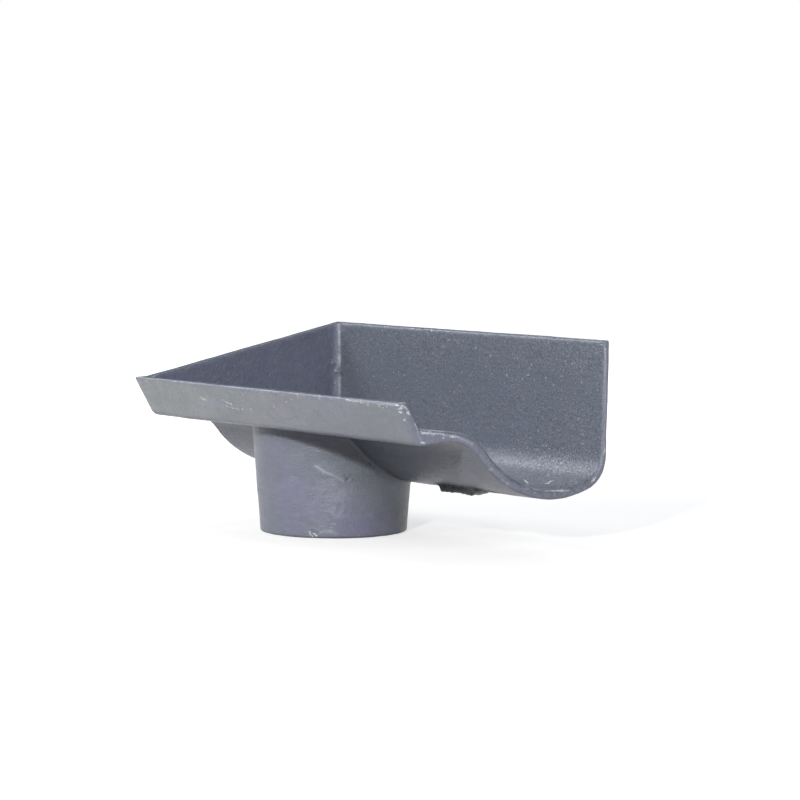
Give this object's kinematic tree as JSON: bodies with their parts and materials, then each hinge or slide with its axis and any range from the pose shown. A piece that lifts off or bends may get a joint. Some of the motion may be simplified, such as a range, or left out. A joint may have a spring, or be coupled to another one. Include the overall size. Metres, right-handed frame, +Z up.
{
  "type": "gutter stop end outlet",
  "caption": "Cast ogee gutter stop end with a tapered round spigot outlet under the channel, a raised back wall, a leaning moulded front and one open end.",
  "frame": {"origin": "centre of the spigot's lower end", "axes": "+X along the gutter from the stop end to the open end, +Y towards the wall that the gutter hangs on, +Z up"},
  "size_m": [0.192, 0.1152, 0.0884],
  "materials": {
    "painted_casting": "slate grey satin primer over sand-cast iron"
  },
  "bodies": {
    "root": {"outlet_casting": "painted_casting"}
  },
  "joints": []
}
